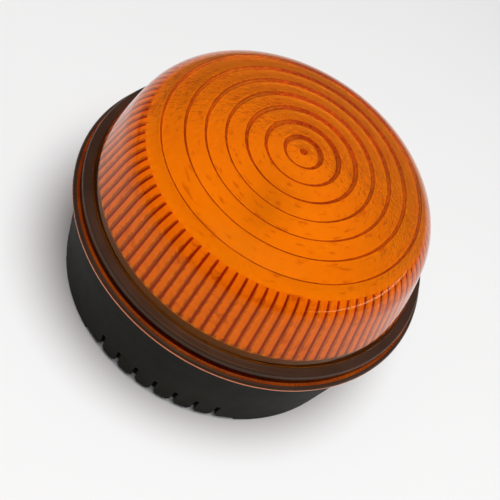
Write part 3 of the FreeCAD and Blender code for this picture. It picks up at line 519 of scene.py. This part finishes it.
def contact_spring():
    """The coil under the lamp's contact, with the lowest and the highest point of its CAD node."""
    low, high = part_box("contact_spring")
    wire_r = SPRING_WIRE_R * MM
    coil_r = (high[1] - low[1]) / 2 - wire_r
    rise = high[2] - low[2] - 2 * wire_r
    up = Vector((0, 0, 1))
    vertices = []
    for k in range(SPRING_STEPS + 1):
        turn = 2 * math.pi * SPRING_TURNS * k / SPRING_STEPS
        outward = Vector((math.cos(turn), math.sin(turn), 0))
        middle = outward * coil_r + up * (low[2] + wire_r + rise * k / SPRING_STEPS)
        for m in range(SPRING_SIDES):
            angle = -2 * math.pi * m / SPRING_SIDES
            vertices.append(middle + (outward * math.cos(angle) + up * math.sin(angle)) * wire_r)
    faces = bar_faces(0, SPRING_STEPS, SPRING_SIDES)
    return new_object("contact_spring_coil", vertices, faces), low[2], high[2]


# ---------------------------------------------------------------- materials

class Look:
    """A node material in the making, with a Principled shader on its output."""

    def __init__(self, name):
        self.material = bpy.data.materials.new(name)
        self.material.use_nodes = True
        self.nodes = self.material.node_tree.nodes
        self.links = self.material.node_tree.links
        self.nodes.clear()
        self.output = self.nodes.new("ShaderNodeOutputMaterial")
        self.shader = self.nodes.new("ShaderNodeBsdfPrincipled")
        self.links.new(self.shader.outputs[0], self.output.inputs[0])

    def fix(self, socket, value):
        """Set a value of the shader that is the same all over."""
        self.shader.inputs[socket].default_value = value

    def position(self):
        return self.nodes.new("ShaderNodeTexCoord").outputs["Object"]

    def noise_at(self, place, scale, detail):
        node = self.nodes.new("ShaderNodeTexNoise")
        node.inputs["Scale"].default_value = scale
        node.inputs["Detail"].default_value = detail
        self.links.new(place, node.inputs["Vector"])
        return node.outputs["Fac"]

    def noise(self, scale, detail=3.0):
        """Noise fixed to the object; scale is in cycles a metre."""
        return self.noise_at(self.position(), scale, detail)

    def vector_math(self, operation, source):
        node = self.nodes.new("ShaderNodeVectorMath")
        node.operation = operation
        self.links.new(source, node.inputs[0])
        return node

    def streaks(self, around, across):
        """Noise drawn out round the Z axis: around is in cells a radian, across in cells a metre outward."""
        flat = self.vector_math("MULTIPLY", self.position())
        flat.inputs[1].default_value = (1, 1, 0)
        unit = self.vector_math("NORMALIZE", flat.outputs["Vector"])
        ring = self.vector_math("SCALE", unit.outputs["Vector"])
        ring.inputs["Scale"].default_value = around
        radius = self.vector_math("LENGTH", flat.outputs["Vector"])
        outward = self.nodes.new("ShaderNodeMath")
        outward.operation = "MULTIPLY"
        outward.inputs[1].default_value = across
        self.links.new(radius.outputs["Value"], outward.inputs[0])
        lift = self.nodes.new("ShaderNodeCombineXYZ")
        self.links.new(outward.outputs[0], lift.inputs["Z"])
        place = self.vector_math("ADD", ring.outputs["Vector"])
        self.links.new(lift.outputs[0], place.inputs[1])
        return self.noise_at(place.outputs["Vector"], 1.0, 2.0)

    def colour(self, source, low, high, start=0.3, end=0.7):
        """Base colour from low to high as source goes from start to end."""
        node = self.nodes.new("ShaderNodeValToRGB")
        for element, place, value in zip(node.color_ramp.elements, (start, end), (low, high)):
            element.position = place
            element.color = (*value, 1)
        self.links.new(source, node.inputs[0])
        self.links.new(node.outputs[0], self.shader.inputs["Base Color"])

    def roughness(self, source, low, high):
        """Roughness from low to high as source goes from 0 to 1."""
        node = self.nodes.new("ShaderNodeMapRange")
        node.inputs["To Min"].default_value = low
        node.inputs["To Max"].default_value = high
        self.links.new(source, node.inputs["Value"])
        self.links.new(node.outputs[0], self.shader.inputs["Roughness"])

    def bump(self, source, strength, distance):
        node = self.nodes.new("ShaderNodeBump")
        node.inputs["Strength"].default_value = strength
        node.inputs["Distance"].default_value = distance
        self.links.new(source, node.inputs["Height"])
        self.links.new(node.outputs[0], self.shader.inputs["Normal"])

    def let_lamps_through(self, tint):
        """Rays from lamps pass the surface tinted, so that they light what is behind it."""
        clear = self.nodes.new("ShaderNodeBsdfTransparent")
        clear.inputs[0].default_value = (*tint, 1)
        path = self.nodes.new("ShaderNodeLightPath")
        mix = self.nodes.new("ShaderNodeMixShader")
        self.links.new(path.outputs["Is Shadow Ray"], mix.inputs[0])
        self.links.new(self.shader.outputs[0], mix.inputs[1])
        self.links.new(clear.outputs[0], mix.inputs[2])
        self.links.new(mix.outputs[0], self.output.inputs[0])


def solid(name, low, high, rough, scale, metallic=0.0, grain=None, specular=0.5):
    """Opaque finish with a varied tone and roughness; grain is (scale, strength, distance) of its bump."""
    look = Look(name)
    look.colour(look.noise(scale), low, high)
    look.roughness(look.noise(scale * FINER), *rough)
    look.fix("Metallic", metallic)
    look.fix("Specular IOR Level", specular)
    if grain:
        look.bump(look.noise(grain[0], 4.0), *grain[1:])
    return look.material


def amber(name, low, high, transmission, rough, shadow_tint, waves, flow=False):
    """Amber plastic; waves is (scale, strength, distance) of its bump, and flow gives it flow marks."""
    look = Look(name)
    look.fix("Transmission Weight", transmission)
    look.fix("IOR", AMBER_IOR)
    look.fix("Specular IOR Level", AMBER_SPECULAR)
    look.fix("Specular Tint", AMBER_SPECULAR_TINT)
    if flow:
        look.colour(look.streaks(*FLOW_CELLS), low, high, *FLOW_BAND)
    else:
        look.colour(look.noise(AMBER_TONE, 2.0), low, high)
    look.roughness(look.noise(AMBER_ROUGHNESS), *rough)
    look.bump(look.noise(waves[0], 3.0), *waves[1:])
    look.let_lamps_through(shadow_tint)
    return look.material


def lamp_glass():
    """Clear blown glass."""
    look = Look("lamp_glass")
    look.fix("Transmission Weight", 1.0)
    look.fix("IOR", GLASS_IOR)
    look.colour(look.noise(80.0), (0.93, 0.94, 0.93), (0.99, 0.99, 0.98))
    look.roughness(look.noise(300.0), 0.0, 0.03)
    look.let_lamps_through((0.95, 0.95, 0.95))
    return look.material


def slot_materials():
    """One material for each of the record's slots but the lens's, by slot."""
    looks = {slot: solid(slot, *finish) for slot, finish in SOLID_FINISHES.items()}
    looks["lamp_glass"] = lamp_glass()
    return looks


def lens_materials():
    """The lens's finishes, in the order of the finish numbers: clear outer, frosted inner, painted shade on
    the edges, deeper painted shade in the valleys, painted shade on the foot, a painted highlight on the
    bead, and the ribs darkened as painted shade.
    """
    fine = (700.0, 0.1, 0.0003)
    frosted = (420.0, 0.6, 0.0008)
    return [
        amber("amber_outer", (0.69, 0.29, 0.004), (0.72, 0.33, 0.008), 1.0, (0.02, 0.06),
              (0.98, 0.66, 0.12), (90.0, 0.05, 0.0004)),
        amber("amber_inner", (0.55, 0.19, 0.005), (0.77, 0.37, 0.015), 0.55, (0.42, 0.58),
              (0.95, 0.66, 0.12), frosted, flow=True),
        # Painted shade: darker amber on the ring steps, the nib's tip and the groove over the bead
        amber("amber_edge_shade", (0.2, 0.022, 0.001), (0.4, 0.07, 0.003), 0.35, (0.2, 0.35),
              (0.8, 0.4, 0.1), fine),
        # Darkest painted shade, in the flutes' valleys and at the lugs' joins
        amber("amber_deep_shade", (0.2, 0.004, 0.0005), (0.28, 0.008, 0.001), 0.2, (0.25, 0.4),
              (0.6, 0.2, 0.02), fine),
        # Painted dark shade on the bead, the skirt and the ledge's edge
        amber("amber_foot_shade", (0.035, 0.018, 0.013), (0.055, 0.028, 0.02), 0.2, (0.25, 0.4),
              (0.4, 0.15, 0.03), fine),
        # Painted highlight: the bright line along the bead
        amber("amber_bead_highlight", (0.9, 0.24, 0.1), (1.0, 0.3, 0.13), 0.2, (0.2, 0.3),
              (0.6, 0.2, 0.02), fine),
        # The ribs: the frosted inner amber darkened as painted shade
        amber("amber_rib_shade", (0.55, 0.14, 0.004), (0.8, 0.29, 0.01), 0.55, (0.42, 0.58),
              (0.95, 0.6, 0.1), frosted, flow=True),
    ]


def assign(obj, material):
    """Put one material in every slot of an object."""
    if len(obj.data.materials) == 0:
        obj.data.materials.append(material)
    for i in range(len(obj.data.materials)):
        obj.data.materials[i] = material


# ---------------------------------------------------------------- pieces

slot_looks = slot_materials()
lens_looks = lens_materials()
slot_looks["lens_amber"] = lens_looks[OUTER]

slot_of = {entry["node"]: entry["material_slot"] for entry in frame["record"]["subparts"]}
for node_name, node in frame["nodes"].items():
    assign(node, slot_looks[slot_of[node_name]])

dome = lens_dome(lens_looks)
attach(dome, "lens")
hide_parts("lens_dome")

lugs = lens_lugs()
assign(lugs, slot_looks["lens_amber"])
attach(lugs, "lens")

coil, coil_foot, coil_top = contact_spring()
assign(coil, slot_looks["spring_steel"])
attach(coil, "base")
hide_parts("contact_spring")
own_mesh(coil)


# ---------------------------------------------------------------- stage

def floor():
    h = FLOOR_HALF
    obj = new_object("floor", [(-h, -h, 0), (h, -h, 0), (h, h, 0), (-h, h, 0)], [(0, 1, 2, 3)], smooth=False)
    assign(obj, solid("floor_white", (0.90, 0.90, 0.90), (0.92, 0.92, 0.92), (0.7, 0.8), 3.0))
    obj.location.z = -FLOOR_DROP


def area_light(name, azimuth, elevation, distance, size, power, mirrored=True):
    """A lamp of the given width and height in metres and power in watts that faces the object."""
    data = bpy.data.lights.new(name, "AREA")
    data.shape = "ELLIPSE"
    data.size, data.size_y = size
    data.energy = power
    obj = bpy.data.objects.new(name, data)
    obj.visible_glossy = mirrored
    bpy.context.scene.collection.objects.link(obj)
    direction = toward(azimuth, elevation)
    obj.location = direction * distance + LIT_POINT
    obj.rotation_euler = direction.to_track_quat("Z", "Y").to_euler()


def world():
    studio = bpy.data.worlds.new("studio")
    bpy.context.scene.world = studio
    studio.use_nodes = True
    background = studio.node_tree.nodes.get("Background")
    background.inputs["Color"].default_value = (1, 1, 1, 1)
    background.inputs["Strength"].default_value = WORLD_STRENGTH


def camera():
    data = bpy.data.cameras.new("camera")
    data.lens = CAMERA_LENS
    data.sensor_width = CAMERA_SENSOR
    data.clip_start = CAMERA_NEAR
    obj = bpy.data.objects.new("camera", data)
    bpy.context.scene.collection.objects.link(obj)
    back = toward(CAMERA_AZIMUTH, CAMERA_ELEVATION)
    level = back.to_track_quat("Z", "Y").to_matrix()
    turned = level @ Matrix.Rotation(math.radians(-CAMERA_ROLL), 3, "Z")
    obj.matrix_world = Matrix.Translation(CAMERA_TARGET + back * CAMERA_DISTANCE) @ turned.to_4x4()
    bpy.context.scene.camera = obj


floor()
area_light("overhead", azimuth=-60, elevation=80, distance=1.2, size=(1.0, 1.0), power=16.0, mirrored=False)
area_light("right", azimuth=-5, elevation=8, distance=0.9, size=(1.2, 0.04), power=0.5)
world()
camera()
bpy.context.scene.view_settings.view_transform = "Standard"
